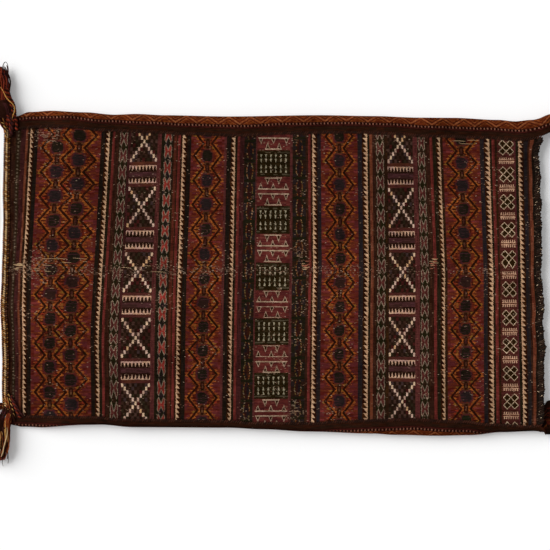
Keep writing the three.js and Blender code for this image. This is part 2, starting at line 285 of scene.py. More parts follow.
def plain(*dyes):
    """A stripe of one yarn, whose dye changes a little from one weft to the next."""
    def draw(u, v):
        return pick(chance(u, 2.2, v, 14, 3), *dyes)
    return draw


TEETH_BAND = 10
TOOTH = 9


def draw_teeth(u, v):
    """Ivory stripe with a straight spine and saw teeth, whose flat sides look along v."""
    tooth = (v / TOOTH) % 1
    ivory = pick(chance(u, 3, v, 4), "b89577", 0.55, "a68166", 0.8, "c5a284")
    notch = pick(chance(u, 6, v, TOOTH), "2a1207", 0.5, "371c0a", 0.8, "241009")
    return cover(notch, ((u + TEETH_BAND / 2 < 1.5 + tooth * 6.8) * (u > -4.1), ivory))


def draw_dashes(u, v):
    """Thin line of pale dashes on dark brown."""
    dash = ((v / 7) % 1 < 0.5) * (abs(u) < 0.75)
    return cover(plain("2a1d12", 0.5, "33231b")(u, v), (dash, "5c5042"))


DIAMOND = 45
DIAMOND_REACH = 26.5
DIAMOND_SLOPE = 0.804
STEP = DIAMOND / 8


def draw_diamonds(u, v):
    """Column of stepped diamonds, each with a dark octagon, joined by spools at the pinches."""
    across = abs(u)
    along = v.to_and_fro(DIAMOND / 2)
    pinch = DIAMOND / 2 - along
    edge = across - (DIAMOND_REACH - DIAMOND_SLOPE * along)
    block = chance(u, 4.5, v, STEP)
    other = chance(u, 4.5, v, STEP, 7)
    ragged = (other - 0.5) * 3
    tooth = abs((v / STEP) % 1 - 0.5)
    outward = (edge < 10 - tooth * 13 - other * 1.5) * (edge > 0)
    inward = (edge > -9 + tooth * 12) * (edge < 0)
    ring = (across < 12 + ragged) * (along < 13.4 + ragged) * (across + along < 20 + ragged)
    octagon = (across < 9.2 + ragged) * (along < 10) * (across + along < 15.2 + ragged)
    ground = pick(chance(u, 14, v, 3.2, 2),
                  "54211b", 0.3, "532223", 0.55, "5b2819", 0.75, "4b1812", 0.9, "672c2a")
    rust = pick(block, "5e2417", 0.4, "501c12", 0.65, "6b2f18", 0.85, "43170f")
    orange = pick(block, "86471f", 0.26, "76391b", 0.44, "945123", 0.6, "632a16", 0.72, "7a5220",
                  0.82, "7c2d1b", 0.93, "4e1d12")
    heart = pick(chance(u + DIAMOND, 2 * DIAMOND, v + DIAMOND / 2, DIAMOND, 4),
                 "1f1912", 0.3, "241c1c", 0.55, "2b1b17", 0.8, "1d1e12")
    return cover(
        ground,
        (edge < 0, cover(rust, (other > 0.8, "7c4a22"))),
        ((tooth > 0.38) * (edge < 5) * (chance(u, 9, v, STEP, 3) > 0.4), "35130d"),
        (outward.most(inward), orange),
        (ring, pick(block, "4c1f1e", 0.4, "3f1f24", 0.75, "5c2a1a")),
        (octagon, cover(heart, ((tooth > 0.3) * (block > 0.7), "3a2226"))),
        ((across < 6) * (pinch < 10) * (pinch > 6), "50301f"),
        ((across < 4.4 - pinch * 0.2) * (pinch < 9), "2a140b"),
        ((across < 1.6) * (pinch < 5), pick(block, "48281e", 0.5, "583a28", 0.8, "3c1d1c")),
        (abs(edge) < 2.7, pick(other, "2a120b", 0.6, "351810", 0.85, "22120a")),
    )


COLUMN_APART = 20.8
COLUMN_BREADTH = 1.192


def draw_double_diamonds(u, v):
    """Two columns of diamonds, half a step apart, that share the line between them."""
    foot_u = (u + COLUMN_APART) / COLUMN_BREADTH
    mouth_u = (u - COLUMN_APART) / COLUMN_BREADTH
    foot_edge = abs(foot_u) + DIAMOND_SLOPE * v.to_and_fro(DIAMOND / 2)
    mouth_edge = abs(mouth_u) + DIAMOND_SLOPE * (v + DIAMOND / 2).to_and_fro(DIAMOND / 2)
    in_mouth = mouth_edge < foot_edge
    return draw_diamonds(foot_u + in_mouth * (mouth_u - foot_u), v + in_mouth * (DIAMOND / 2))


FIGURE = 31


def draw_figures(outline, fill, ground):
    """Chain of four-legged figures, notched at both ends and outlined in pale yarn."""
    def draw(u, v):
        across = abs(u)
        along = v.to_and_fro(FIGURE / 2)
        notch = (across - (along - 4.2) * 0.42) * 0.92
        side = 7.3 - (along - 10).most(0) * 0.62 - (3 - along).most(0) * 0.35 - across
        inside = notch.least(side)
        return cover(
            pick(chance(u, 4, v, 7), *ground),
            (inside > 0, pick(chance(u, 3, v, 3), *outline)),
            ((inside > 1.3) * (along < 14), pick(chance(u, 5, v, 6), *fill)),
        )
    return draw


CROSSING = 120.6
CROSSING_BAND = 53.2
CROSSING_EDGE = 26.4
BEAD_WIDTH = 4.87
BEAD_LENGTH = CROSSING / 18
COMB_TOOTH = 6.6


def draw_crossings(u, v):
    """Ivory beads in crossing arms, and between them two combs with their teeth towards each other."""
    across = abs(u)
    along = v.to_and_fro(CROSSING / 2)
    off = CROSSING / 2 - along
    bead_u = u + BEAD_WIDTH / 2
    bead_v = v + BEAD_LENGTH / 2
    chequer = ((bead_u / BEAD_WIDTH).floor() + (bead_v / BEAD_LENGTH).floor()) % 2
    speck = pick(chance(bead_u, BEAD_WIDTH, bead_v, BEAD_LENGTH),
                 "33211a", 0.3, "45302a", 0.55, "2b2318", 0.75, "3f1a18", 0.9, "3a2c2c")
    ivory = pick(chance(bead_u, BEAD_WIDTH, bead_v, BEAD_LENGTH, 1),
                 "caac9c", 0.35, "b89686", 0.6, "d2b498", 0.88, "c29a74")
    step = (along / BEAD_LENGTH + 0.5).floor()
    arm = (abs(across - step * BEAD_WIDTH) < 1.9) * (along < BEAD_LENGTH * 5.5)
    tooth = abs((u / COMB_TOOTH + 0.5) % 1 - 0.5)
    comb = (off < 16.6) * (off > 7) * (tooth < (off - 6.5) * 0.036 + (off > 15.1)) * (across < CROSSING_EDGE)
    return cover(
        dye("24170f"),
        (chequer, speck),
        (arm, ivory),
        (off < 23, pick(chance(u, 20, v, 3), "4a2622", 0.5, "4e2a1e", 0.8, "46211f")),
        (off < 15, pick(chance(u, 12, v, 3), "23130b", 0.6, "2e1a14")),
        (comb, pick(chance(u, COMB_TOOTH, v, 4, 1), "b8927a", 0.4, "c6a28a", 0.75, "ba9488")),
        (off < 4.6, pick(chance(u, 17, v, 2), "432728", 0.5, "3a2320", 0.8, "4d2c30")),
        (across > CROSSING_EDGE, "3a1d1a"),
    )


HEXAGON = 37.3


def draw_hexagons(u, v):
    """Dark column of long hexagons drawn in broken tan and olive dashes."""
    along = v.to_and_fro(HEXAGON / 2)
    rim = abs(u) - (5.6 - (along - 5).most(0) * 0.25)
    broken = ((v / 5.4 + (u > 0) * 0.4) % 1 < 0.68) * (chance(u, 30, v, 5.5, 2) > 0.15)
    tan = pick(chance(u, 11, v, 3.4, 6),
               "64512f", 0.3, "5c3a1c", 0.5, "6f604e", 0.7, "6f3e20", 0.85, "8a6446")
    return cover(
        pick(chance(u, 6, v, 9), "1f1a12", 0.4, "241c1c", 0.7, "2a1a12"),
        (rim < -1, pick(chance(u, 5, v, 8), "2a1512", 0.5, "1f1719", 0.8, "33190f")),
        ((abs(rim) < 0.95) * (along < 15.5) * broken, tan),
        (along > 16.2, "1c1a0f"),
    )


BLOCK = 103.7
GRAIN_WIDTH = 9.3
GRAIN_LENGTH = 8.6
GRAIN_START = 2.2
NOWHERE = 99


def draw_centre(u, v):
    """Maroon blocks with bars and hollow wedges, between dark green blocks sown with small ivory wedges."""
    across = abs(u)
    along = v.to_and_fro(BLOCK / 2)
    off = BLOCK / 2 - along
    sown_u = abs((u / GRAIN_WIDTH) % 1 - 0.5) * GRAIN_WIDTH
    sown_v = (along - GRAIN_START) % GRAIN_LENGTH
    grain = (sown_u < 0.2 + sown_v * 0.26) * (along > GRAIN_START) * (along < 17.2) * (sown_v < 6.6)

    def wedge(middle, base, tip):
        return (off - tip) / (base - tip) * 4 - abs(across - middle)

    outer = wedge(10.8, 24, 12) - (off > 25) * NOWHERE
    inner = wedge(0, 5.5, 16).most(wedge(23.7, 5.5, 16)) - (off < 5) * NOWHERE
    shape = outer.most(inner)
    bars = (abs(off - 24.8) < 1) * (across < 16) + (abs(off - 4.6) < 1) * (across < 29)
    ivory = pick(chance(u, 5, v, 3), "9b8672", 0.5, "a9907e", 0.8, "88725e")
    return cover(
        pick(chance(u, 12, v, 2.4), "522320", 0.4, "5a2824", 0.7, "481e1e", 0.9, "62322d"),
        (along < 25, pick(chance(u, 7, v, 3), "201709", 0.5, "281d0e", 0.8, "2d2416")),
        (grain, pick(chance(u, 5, v, 3), "968f7a", 0.5, "867f6a", 0.8, "a29684")),
        ((abs(along - 20.5) < 1.1) * (chance(u, 8, v, 5) > 0.45), "4c4436"),
        (shape > 0, ivory),
        (shape > 1.1, "2c1508"),
        (bars, ivory),
    )


ROSETTE = 52.8
PETAL_WIDTH = 6.4
PETAL_LENGTH = 7.1
ROSETTE_EDGE = 13.4


def draw_rosettes(u, v):
    """Lattices of four small ivory diamonds, and pairs of fine combs between them."""
    across = abs(u)
    along = v.to_and_fro(ROSETTE / 2)
    off = ROSETTE / 2 - along
    lattice = abs(across - PETAL_WIDTH) / PETAL_WIDTH + abs(along - PETAL_LENGTH) / PETAL_LENGTH
    inside = (lattice < 1).most(across / PETAL_WIDTH + along / PETAL_LENGTH < 1)
    tooth = abs((u / 3.75 + 0.5) % 1 - 0.5)
    comb = (off < 6.7) * (tooth < 0.24 + (off < 2.5)) * (across < ROSETTE_EDGE)
    return cover(
        pick(chance(u, 9, v, 2.4), "43211b", 0.5, "4a2320", 0.8, "381a12"),
        (u > ROSETTE_EDGE, "4d2428"),
        (inside, "261808"),
        (abs(lattice - 1) < 0.1, pick(chance(u, 4, v, 3), "c2aa90", 0.5, "b29880", 0.8, "cfb99e")),
        (comb, pick(chance(u, 4, v, 3), "b8927a", 0.5, "a8826c", 0.8, "c29c82")),
        ((off < 1.1) * (across < 15), "4b2316"),
    )


PALE = ("7d6d5f", 0.5, "6b5a4e", 0.8, "8e7c6a")
MAROON_FILL = ("45201d", 0.6, "542a26")
RED_FILL = ("7c2b25", 0.5, "6b2a22", 0.8, "8a3730")
WEAVES = {
    "umber": plain("2c1a10", 0.5, "35200f", 0.8, "251811"),
    "soot": plain("1d1610", 0.4, "241913", 0.7, "1a1512"),
    "slate": plain("241e1f", 0.4, "261f1d", 0.7, "1f1b20"),
    "bark": plain("301b14", 0.5, "2b150d", 0.8, "3a2217"),
    "plum": plain("381c1b", 0.5, "402020", 0.8, "301714"),
    "maroon": plain("4e2726", 0.5, "582e2b", 0.8, "42201d"),
    "madder": plain("5f2722", 0.4, "6a2c29", 0.75, "51201d"),
    "copper": plain("653624", 0.5, "5a2c20", 0.8, "6f4030"),
    "russet": plain("4b2319", 0.5, "55271d", 0.8, "411b14"),
    "moss": plain("211b10", 0.5, "281f15", 0.8, "1c160e"),
    "dashes": draw_dashes,
    "teeth": draw_teeth,
    "double_diamonds": draw_double_diamonds,
    "diamonds": draw_diamonds,
    "pale_figures": draw_figures(PALE, MAROON_FILL, ("1f1c0d", 0.5, "2a1c12")),
    "red_figures": draw_figures(PALE, RED_FILL, ("1d1a10", 0.6, "22191a")),
    "crossings": draw_crossings,
    "hexagons": draw_hexagons,
    "centre": draw_centre,
    "rosettes": draw_rosettes,
}
REPEATS = {"diamonds": DIAMOND, "double_diamonds": DIAMOND, "pale_figures": FIGURE, "red_figures": FIGURE,
           "crossings": CROSSING, "hexagons": HEXAGON, "centre": BLOCK, "rosettes": ROSETTE}
TO_MOUTH = 1
TO_FOOT = -1

# The weaver's plan from foot to mouth: each band's weave and width. Teeth have the way they point. A figure
# that repeats has its own step and the place of its first middle, counted from the bag's middle line towards
# its right side, and may have a list of slips, where the weaver's count strayed from that step.
PALE_SLIP = [(99, 0), (148, -12), (214, -9), (262, 6)]
RED_SLIP = [(-104, 0), (-80, -4), (-52, -7), (-20, -4), (44, -1), (107, 1), (138, 1), (170, 4), (214, 17)]
MIDDLE_SLIP = [(-200, -1), (-130, -0.5), (-70, 1.5), (50, 2.6), (150, 1.2), (230, -1.5)]
DIAMOND_SLIP = [(-210, 1.9), (-160, 0.3), (-40, 0.3), (15, 3.9), (150, 4.4), (190, 1.1), (230, -1.5)]
ROSETTE_SLIP = [(-235, 2.2), (-190, -1), (-130, -2), (-60, -3.3), (-25, -3), (-5, 1.8), (60, 2.5),
                (165, 1.8), (222, 0)]
PLAN = [
    ("bark", 12.9), ("dashes", 5.6), ("plum", 5.6), ("copper", 3.1), ("umber", 3.4),
    ("teeth", 8.1, TO_MOUTH), ("soot", 7.8), ("double_diamonds", 122.2, 45.75, -235.2), ("soot", 7.5),
    ("teeth", 9.3, TO_FOOT), ("moss", 4.7), ("madder", 4.8), ("bark", 8.2),
    ("pale_figures", 16.8, 31.7, -251.8, PALE_SLIP), ("plum", 4.7), ("crossings", 53.2, 122.3, -245.8),
    ("maroon", 7.5), ("moss", 4.7), ("red_figures", 16.8, 30.4, -257.5, RED_SLIP),
    ("umber", 3.2), ("russet", 5.2), ("umber", 2.2), ("madder", 4.8), ("umber", 2.6),
    ("teeth", 9.3, TO_MOUTH), ("soot", 8.0), ("diamonds", 65.3, 45.3, -218.2, MIDDLE_SLIP), ("maroon", 4.6),
    ("soot", 8.0), ("teeth", 8.8, TO_FOOT), ("moss", 3.7), ("madder", 4.8), ("plum", 8.2),
    ("hexagons", 22.4, 37.3, -115.6), ("maroon", 2.8), ("centre", 61.5, 103.7, -203.3, MIDDLE_SLIP),
    ("maroon", 4.7), ("hexagons", 25.2, 37.3, -121.2), ("bark", 4.7), ("madder", 4.8), ("umber", 2.6),
    ("teeth", 9.7, TO_MOUTH), ("slate", 7.1), ("diamonds", 70.9, 44.95, -254.0, MIDDLE_SLIP), ("slate", 8.4),
    ("teeth", 10.8, TO_FOOT), ("moss", 3.2), ("copper", 5.2), ("bark", 6.0),
    ("pale_figures", 16.8, 31.15, -106.5), ("umber", 5.6), ("crossings", 48.8, 120.3, -241.7),
    ("maroon", 9.0), ("pale_figures", 17.7, 31.0, -118.2), ("bark", 9.0), ("madder", 5.6), ("moss", 7.2),
    ("teeth", 8.7, TO_FOOT), ("umber", 4.1), ("diamonds", 67.1, 44.0, -251.0, DIAMOND_SLIP), ("slate", 7.5),
    ("teeth", 11.2, TO_FOOT), ("moss", 3.0), ("madder", 5.2), ("umber", 3.9),
    ("rosettes", 31.7, 52.8, -235.7, ROSETTE_SLIP), ("moss", 4.3), ("teeth", 10.2, TO_MOUTH), ("slate", 6.7),
    ("bark", 3.0), ("copper", 5.2), ("soot", 12.1),
]

# How far the woven lines lean from straight across, at the left and at the right side, by place
LEFT_LEAN = [
    (-500, 0), (-470, 13), (-400, 14.3), (-300, 14.9), (-172, 10.2), (-75, 6), (15, 3.2), (80, -0.4),
    (177, -1.5), (260, -4), (317, -7.9), (406, -5.7), (466, -2.1), (503, 0)]
RIGHT_LEAN = [
    (-500, 0), (-465, -0.3), (-400, -1.8), (-300, -4.9), (-200, -4.8), (-75, -4.9), (15, -4.7),
    (80, -5.6), (177, -4.8), (260, -3.9), (317, -2.9), (400, -2.8), (466, 0.6), (503, 0)]
SHIFT = [
    (-500, 0), (-470, 3.2), (-400, -0.8), (-300, -2.1), (-200, -2.1), (-50, -2), (10, -1.5), (60, 1),
    (110, 1), (160, -0.6), (250, 0.8), (340, -1.2), (390, -0.9), (480, 0.4), (503, 0)]


def lean(x, y):
    """How far along the bag a line of the weave has strayed at y from its own place."""
    belly = -4 * math.exp(-((x + 320) / 80) ** 2 - ((y + 125) / 90) ** 2)
    if y > 0:
        return between(x, SHIFT) + belly + between(x, LEFT_LEAN) * y / LEFT_SEAM
    return between(x, SHIFT) + belly + between(x, RIGHT_LEAN) * (y / RIGHT_SEAM) ** 0.7


def put(name, data):
    """A new object, in the scene."""
    made = bpy.data.objects.new(name, data)
    bpy.context.scene.collection.objects.link(made)
    return made


def add_mesh(name, mesh, materials, slot, *nodes):
    """A finished piece of the bag, which stands for its nodes."""
    for material in materials:
        mesh.materials.append(material)
    mesh.shade_smooth()
    piece = put(name, mesh)
    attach(piece, "root")
    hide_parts(*nodes)
    return piece


def mesh_of(name, bm):
    mesh = bpy.data.meshes.new(name)
    bm.to_mesh(mesh)
    bm.free()
    return mesh


def unit_grid(columns, rows):
    """A new flat grid of cells, 1 by 1, to be drawn out into a piece."""
    bm = bmesh.new()
    from_corner = Matrix.Translation((0.5, 0.5, 0))
    bmesh.ops.create_grid(bm, x_segments=columns, y_segments=rows, size=0.5, matrix=from_corner)
    return bm


def thicken(piece, cloth, offset):
    """Gives a sheet the thickness of its cloth."""
    thickness = piece.modifiers.new("cloth", "SOLIDIFY")
    thickness.thickness = cloth * MM
    thickness.offset = offset
    return thickness


COLUMN = 6.5
ROWS = 150
RELIEF = {"teeth": 0.9, "madder": 0.5, "copper": 0.4, "slate": -0.3, "soot": -0.3, "umber": -0.3}
OTHER_RELIEF = 0.1
kinds = list(WEAVES)
band_starts = [panel_low.x + sum(band[1] for band in PLAN[:k]) for k in range(len(PLAN) + 1)]
stretch = (panel_high.x - panel_low.x) / (band_starts[-1] - panel_low.x)
band_starts = [panel_low.x + (start - panel_low.x) * stretch for start in band_starts]
columns = [panel_low.x]
owners = []
for k, (start, end) in enumerate(zip(band_starts, band_starts[1:])):
    steps = max(2, round((end - start) / COLUMN))
    columns += [start + (end - start) * (i + 1) / steps for i in range(steps)]
    owners += [k] * steps

bm = unit_grid(len(owners), ROWS)
weave_map = bm.loops.layers.uv.new("weave")


def grid_place(vert):
    """A corner of the grid as its column's number and its place across the bag."""
    column = round(vert.co.x * len(owners))
    row = round(vert.co.y * ROWS)
    return column, panel_low.y + (panel_high.y - panel_low.y) * row / ROWS


for face in bm.faces:
    k = owners[int(face.calc_center_median().x * len(owners))]
    kind, width, *rest = PLAN[k]
    start, end = band_starts[k:k + 2]
    face.material_index = kinds.index(kind)
    for loop in face.loops:
        column, y = grid_place(loop.vert)
        x = columns[column]
        u = x - (start + end) / 2
        v = -lie(x, y, BAG_HEIGHT).y / MM + 0.8 * noise.noise((x / 60, y / 50, 7))
        if kind == "teeth":
            way = rest[0]
            u *= TEETH_BAND / (end - start) * way
            v *= way
        elif kind in REPEATS:
            step, first_middle, *slip = rest
            v -= between(v, *slip) if slip else 0
            v = (v - first_middle) * REPEATS[kind] / step
            u *= CROSSING_BAND / width if kind == "crossings" else 1
        loop[weave_map].uv = (u, v)

for vert in bm.verts:
    column, y = grid_place(vert)
    x = columns[column]
    kind = PLAN[owners[min(column, len(owners) - 1)]][0]
    relief = 0 if x in band_starts else RELIEF.get(kind, OTHER_RELIEF)
    vert.co = lie(x + lean(x, y), y, front_face(x) + relief)

front_materials = [cloth_material("weave_" + kind, draw) for kind, draw in WEAVES.items()]
front_panel = add_mesh("patterned_front", mesh_of("patterned_front", bm), front_materials,
                       "patterned_flatweave", "front_panel")
thicken(front_panel, PANEL_CLOTH, -1)


# Back panel: the plain face that lies on the floor, the same wool woven in broad stripes with no ornament.
# Its ends rise a little into the bindings at foot and mouth, which are thicker than the cloth.
back_low, back_high = (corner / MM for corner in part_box("back_panel"))
END_RISE = 2.2
RISE_LENGTH = 45
BACK_COLUMNS = 100
BACK_ROWS = 60
STRIPE = 168


def draw_stripes(u, v):
    """Broad stripes of undyed brown and madder with thin pale lines at their edges."""
    stripe = (u / STRIPE) % 1 + (chance(u, 1000, v, RIB, 8) - 0.5) * 0.004
    return pick(stripe, "4a2a1c", 0.36, "2b1b13", 0.39, "8a6a4c", 0.40, "2b1b13", 0.44, "5c2a20",
                0.72, "2b1b13", 0.75, "7c4a30", 0.77, "2b1b13", 0.81, "4a2a1c")


bm = unit_grid(BACK_COLUMNS, BACK_ROWS)
weave_map = bm.loops.layers.uv.new("weave")
for vert in bm.verts:
    x = back_low.x + (back_high.x - back_low.x) * vert.co.x
    y = back_low.y + (back_high.y - back_low.y) * vert.co.y
    for loop in vert.link_loops:
        loop[weave_map].uv = (x, -y)
    past_foot = ease(x, foot_high.x, foot_high.x + RISE_LENGTH)
    to_mouth = ease(x, -foot_high.x - RISE_LENGTH, -foot_high.x)
    vert.co = lie(x, y, 0) + Vector((0, 0, END_RISE * (1 - past_foot * (1 - to_mouth)) * MM))
striped = cloth_material("striped_plain_weave", draw_stripes, 0.25)
back_panel = add_mesh("plain_back", mesh_of("plain_back", bm), [striped], "plain_flatweave", "back_panel")
thicken(back_panel, PANEL_CLOTH, 1)


# Side bands: two narrow bands of warp-patterned wool, each folded lengthways round one side of the bag and
# sewn to both panels. They run on past the mouth as straps: the left one stays folded, the right opens flat.
BAND_CLOTH = 4
BAND_WIDTH = 64
BAND_FOOT = -497
STRAP_END = 565
STRAP_FOLD = 10
LEFT_STRAP_DRIFT = 12
RIGHT_STRAP_DRIFT = -22
BAND_COLUMNS = 236
BAND_ROWS = 40
LEFT = {"side": 1, "front": 263.5, "back": 265.9}
RIGHT = {"side": -1, "front": 274.5, "back": 254.9}


def band_place(band, x, s):
    """The middle of the band's cloth, at s across it from its back edge."""
    past = min(max((x - MOUTH) / (STRAP_END - MOUTH), 0), 1)
    height = front_face(x)
    turn = math.pi
    drift = LEFT_STRAP_DRIFT * past
    if band is LEFT:
        height += (STRAP_FOLD - height) * ease(past, 0, 1)
    else:
        turn *= 1 - 0.999 * ease(x, 494, 514)
        drift = RIGHT_STRAP_DRIFT * ease(x, 497, 512)
    fold = math.pi * (height - BAND_CLOTH) / 2
    back_run = (BAND_WIDTH - fold + band["front"] - band["back"]) / 2
    on_back = min(s, back_run)
    angle = min(max((s - back_run) / fold, 0), 1) * turn
    on_front = max(s - back_run - fold, 0)
    radius = fold / turn
    out = band["back"] + drift + on_back + radius * math.sin(angle) + on_front * math.cos(turn)
    up = BAND_CLOTH / 2 + radius * (1 - math.cos(angle)) + on_front * math.sin(turn)
    return x, band["side"] * out, up


ZIGZAG = 40
ZIGZAG_REACH = 12
DOT = 6.5


def draw_band(u, v):
    """Two zigzags along the middle that meet as lozenges, between rows of dots and plain dark edges."""
    off = abs(v)
    block = chance(u, 4.4, v, RIB)
    line = abs(off - u.to_and_fro(ZIGZAG / 2) / (ZIGZAG / 2) * ZIGZAG_REACH)
    dots = cover(dye("200c07"), ((u / DOT) % 1 < 0.37, pick(block, "86594a", 0.5, "74493c")))
    return cover(
        pick(block, "582511", 0.35, "622c13", 0.6, "481b0d", 0.85, "693414"),
        (line < 6.2, pick(block, "78401f", 0.5, "683416", 0.8, "864a28")),
        (line < 4.8, pick(block, "4a1c0e", 0.5, "551f10", 0.8, "3c160b")),
        (line < 1.6, pick(block, "824829", 0.5, "733d20", 0.8, "8d5434")),
        (off > 14, "2a120c"),
        ((off > 14.2) * (off < 18.4), dots),
        (off > 18.6, pick(chance(u, 9, v, RIB), "481a18", 0.5, "3f1816")),
        (off > 20.4, "28130d"),
        (off > 22.6, pick(chance(u, 14, v, RIB), "2b1810", 0.5, "30170e", 0.8, "251710")),
    )


def draw_band_reverse(u, v):
    """The inner face: floats of the unused colours between the plain dark edges."""
    floats = pick(chance(u, 6, v, RIB), "2a1812", 0.3, "5e241a", 0.55, "24150f", 0.8, "6d3a1c")
    return cover(floats, (abs(v) > 19, pick(chance(u, 11, v, RIB), "2c1910", 0.6, "22140e")))


band_materials = [cloth_material("band_face", draw_band, 0),
                  cloth_material("band_reverse", draw_band_reverse, 0)]
RIGHT_STRAY = [(-500, 2), (-420, 1), (-330, 0)]
stations = [BAND_FOOT + (STRAP_END - BAND_FOOT) * i / BAND_COLUMNS for i in range(BAND_COLUMNS + 1)]
for band, name in ((LEFT, "left"), (RIGHT, "right")):
    bm = unit_grid(BAND_COLUMNS, BAND_ROWS)
    weave_map = bm.loops.layers.uv.new("weave")
    places = [[lie(*band_place(band, x, BAND_WIDTH * j / BAND_ROWS)) for j in range(BAND_ROWS + 1)]
              for x in stations]
    for vert in bm.verts:
        i = round(vert.co.x * BAND_COLUMNS)
        j = round(vert.co.y * BAND_ROWS)
        from_seam = sum((a - b).length for a, b in zip(places[i][j:], places[i][j + 1:])) / MM
        stray = 0 if band is LEFT else between(stations[i], RIGHT_STRAY)
        for loop in vert.link_loops:
            loop[weave_map].uv = (stations[i], BAND_WIDTH / 2 - from_seam - stray)
        vert.co = places[i][j]
    if band is LEFT:
        bmesh.ops.reverse_faces(bm, faces=bm.faces)
    mesh = mesh_of(name + "_folded_band", bm)
    piece = add_mesh(name + "_folded_band", mesh, band_materials, "band_weave", name + "_side_band")
    thicken(piece, BAND_CLOTH, 0).material_offset = 1


# Side seams: dark wool overcast along the four edges where the bands meet the panels, in slanted stitches
# that are pulled down into the cloth on both sides of the join
STITCH = 4.1
STITCH_SLANT = 2.2
SEAM_CROWN = 0.9
LEFT_BACK_SEAM = 264.4
RIGHT_BACK_SEAM = -253.4
hand = random.Random(11)


def wool_material(name, code, spread=0.8):
    """Plied wool yarn. Its colour carries painted shade: paler on the plies and darker between them, where
    the bump dips.
    """
    material, shader, start = new_material(name, 0.9, 0.03)
    place = start.node("ShaderNodeTexCoord", {}, {}, "Object")
    ply_bump_and_shade = patches(place, 420.0, 2.0)
    fleece = patches(place, 70.0, 1.0)
    # Painted shade: the colour is made darker where the ply bump is low and paler where it is high
    level = 1 + (ply_bump_and_shade - 0.5) * 1.5 * spread + (fleece - 0.5) * spread
    inputs = {0: dye(code)[:3], 3: level.most(0.2)}
    start.node("ShaderNodeVectorMath", {"operation": "SCALE"}, inputs).feed(shader, "Base Color")
    bump = start.node("ShaderNodeBump", {}, {"Strength": 0.5, "Distance": 0.0005, "Height": ply_bump_and_shade})
    bump.feed(shader, "Normal")
    return material


def shares(count):
    """That many even steps from 0 to 1."""
    return [k / (count - 1) for k in range(count)]


def add_yarns(name, runs, materials, slot, *nodes, sides=4, place=lie):
    """Yarns as one piece: each run has its points in the flat bag, its half thickness and its material."""
    curve = bpy.data.curves.new(name + "_runs", "CURVE")
    curve.dimensions = "3D"
    curve.bevel_depth = MM
    curve.bevel_resolution = (sides - 4) // 2
    curve.use_fill_caps = True
    for material in materials:
        curve.materials.append(material)
    for points, half, material in runs:
        spline = curve.splines.new("POLY")
        spline.points.add(len(points) - 1)
        spline.material_index = material
        for k, (knot, point) in enumerate(zip(spline.points, points)):
            knot.co = (*place(*point), 1)
            knot.radius = half * (0.6 if k in (0, len(points) - 1) else 1)
    shape = bpy.data.objects.new(name + "_runs", curve)
    mesh = bpy.data.meshes.new_from_object(shape)
    bpy.data.objects.remove(shape)
    bpy.data.curves.remove(curve)
    return add_mesh(name, mesh, [], slot, *nodes)


seam_wool = [wool_material("seam_dark", "2b1912"), wool_material("seam_brown", "3d2117")]
for name, middle, on_front in (("left_front_seam", LEFT_SEAM, True), ("right_front_seam", RIGHT_SEAM, True),
                               ("left_back_seam", LEFT_BACK_SEAM, False),
                               ("right_back_seam", RIGHT_BACK_SEAM, False)):
    runs = []
    for k in range(int((MOUTH - BAND_FOOT) / STITCH)):
        x = BAND_FOOT + (k + 0.5) * STITCH
        half = hand.uniform(1.0, 1.3)
        reach = hand.uniform(2.2, 3.2)
        top = front_face(x) if on_front else half + 0.1
        crown = SEAM_CROWN if on_front else 0
        points = [(x + STITCH_SLANT * t, middle + reach * t, top + crown * (1 - t * t))
                  for t in (-1, -0.5, 0, 0.5, 1)]
        runs.append((points, half, hand.randrange(2)))
    core = [(x, middle, front_face(x) - 1.2 if on_front else 1.5) for x in range(BAND_FOOT, MOUTH, 8)]
    runs.append((core, 1.5, 0))
    add_yarns(name + "_stitches", runs, seam_wool, "seam_yarn", name)


# Floats and mends on the front: where the wefts are rubbed through, bare ivory warps lie on the face as thin
# floats, and a few worn places, most of them by the crease, are darned with pale and pink wool
mend_wool = [wool_material("bare_warp", "8a6f58", 0.5), wool_material("darn_ivory", "b2946e", 0.5),
             wool_material("darn_pink", "a0604a", 0.5)]
BARE, DARN, PINK = range(3)
FLOAT_HALF = 0.36
# Single floats by start, end and place across, then darned spots by middle, reach, number of yarns and wools
FLOATS = [(-431, -384, 27), (-372, -345, 27), (-392, -375, 20), (-446, -434, 9), (-445, -433, 6),
          (-429, -412, 14), (-425, -413, 3), (-427, -420, -18), (-415, -407, -29), (-354, -345, 21),
          (-282, -264, 10), (-240, -226, 13), (-224, -198, 2), (338, 362, 246), (366, 388, 247),
          (352, 376, 241)]
DARNS = [(-473, 12, 8, 7, 16, (DARN, DARN, BARE)), (302, 18, 9, 10, 14, (DARN, PINK, PINK)),
         (62, 14, 8, 9, 10, (PINK, PINK, DARN)), (-418, 252, 18, 8, 6, (BARE,)),
         (38, -256, 14, 6, 5, (BARE,))]
floats = [(start, end, y, FLOAT_HALF, DARN) for start, end, y in FLOATS]
for x, y, along, across, count, wools in DARNS:
    for _ in range(count):
        middle = x + hand.uniform(-along, along) * 0.6
        reach = hand.uniform(2.5, 6)
        floats.append((middle - reach, middle + reach, y + hand.uniform(-across, across),
                       hand.uniform(0.4, 0.75), hand.choice(wools)))
runs = []
for start, end, y, half, wool in floats:
    row = 2 * y - lie((start + end) / 2, y, 0).y / MM
    sag = hand.uniform(-0.7, 0.7)
    points = []
    for t in (0, 0.2, 0.5, 0.8, 1):
        x = start + (end - start) * t
        rise = 0.2 if t in (0, 1) else 0.9
        points.append((x, row + sag * math.sin(math.pi * t), front_face(x) + rise))
    runs.append((points, half, wool))
add_yarns("front_floats", runs, mend_wool, "patterned_flatweave", "front_panel")


# Foot binding: a stout hem of twined wool over the closed end of both panels. A pale cord of slanted
# stitches lies along each face between two rows of gold and brown ones, and a last row closes over the nose.
HEM_NOSE = 9
HEM_ROWS = 130
SLOT_GAP = 0.3


